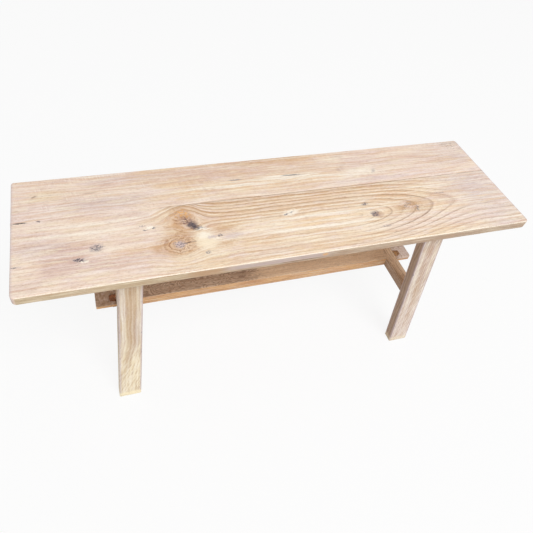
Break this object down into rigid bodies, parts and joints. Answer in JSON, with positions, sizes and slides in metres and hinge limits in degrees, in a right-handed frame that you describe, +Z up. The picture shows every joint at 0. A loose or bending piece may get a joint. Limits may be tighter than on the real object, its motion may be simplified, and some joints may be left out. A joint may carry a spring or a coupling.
{
  "type": "bench",
  "caption": "Low wooden plank bench: a thin jointed top on splayed flat legs, with cross rails and a long stretcher whose through tenons are wedged outside the rails.",
  "frame": {"origin": "on the floor, under the centre of the top", "axes": "+X along the bench to its right end, +Y from its front to its back, +Z up"},
  "size_m": [1.25, 0.3866, 0.479],
  "materials": {
    "top": "bleached old wood, worn and dry",
    "legs": "bleached old wood, worn and dry",
    "rails": "old wood, tan, partly bleached",
    "wedges": "orange-brown wood, raw",
    "dowels": "raw wood, hidden"
  },
  "bodies": {
    "root": {"top_front_board": "top", "top_back_board": "top", "board_joint_dowels": "dowels", "front_left_leg": "legs", "front_right_leg": "legs", "back_left_leg": "legs", "back_right_leg": "legs", "left_cross_rail": "rails", "right_cross_rail": "rails", "long_stretcher": "rails", "left_tenon_wedge": "wedges", "right_tenon_wedge": "wedges"}
  },
  "joints": []
}
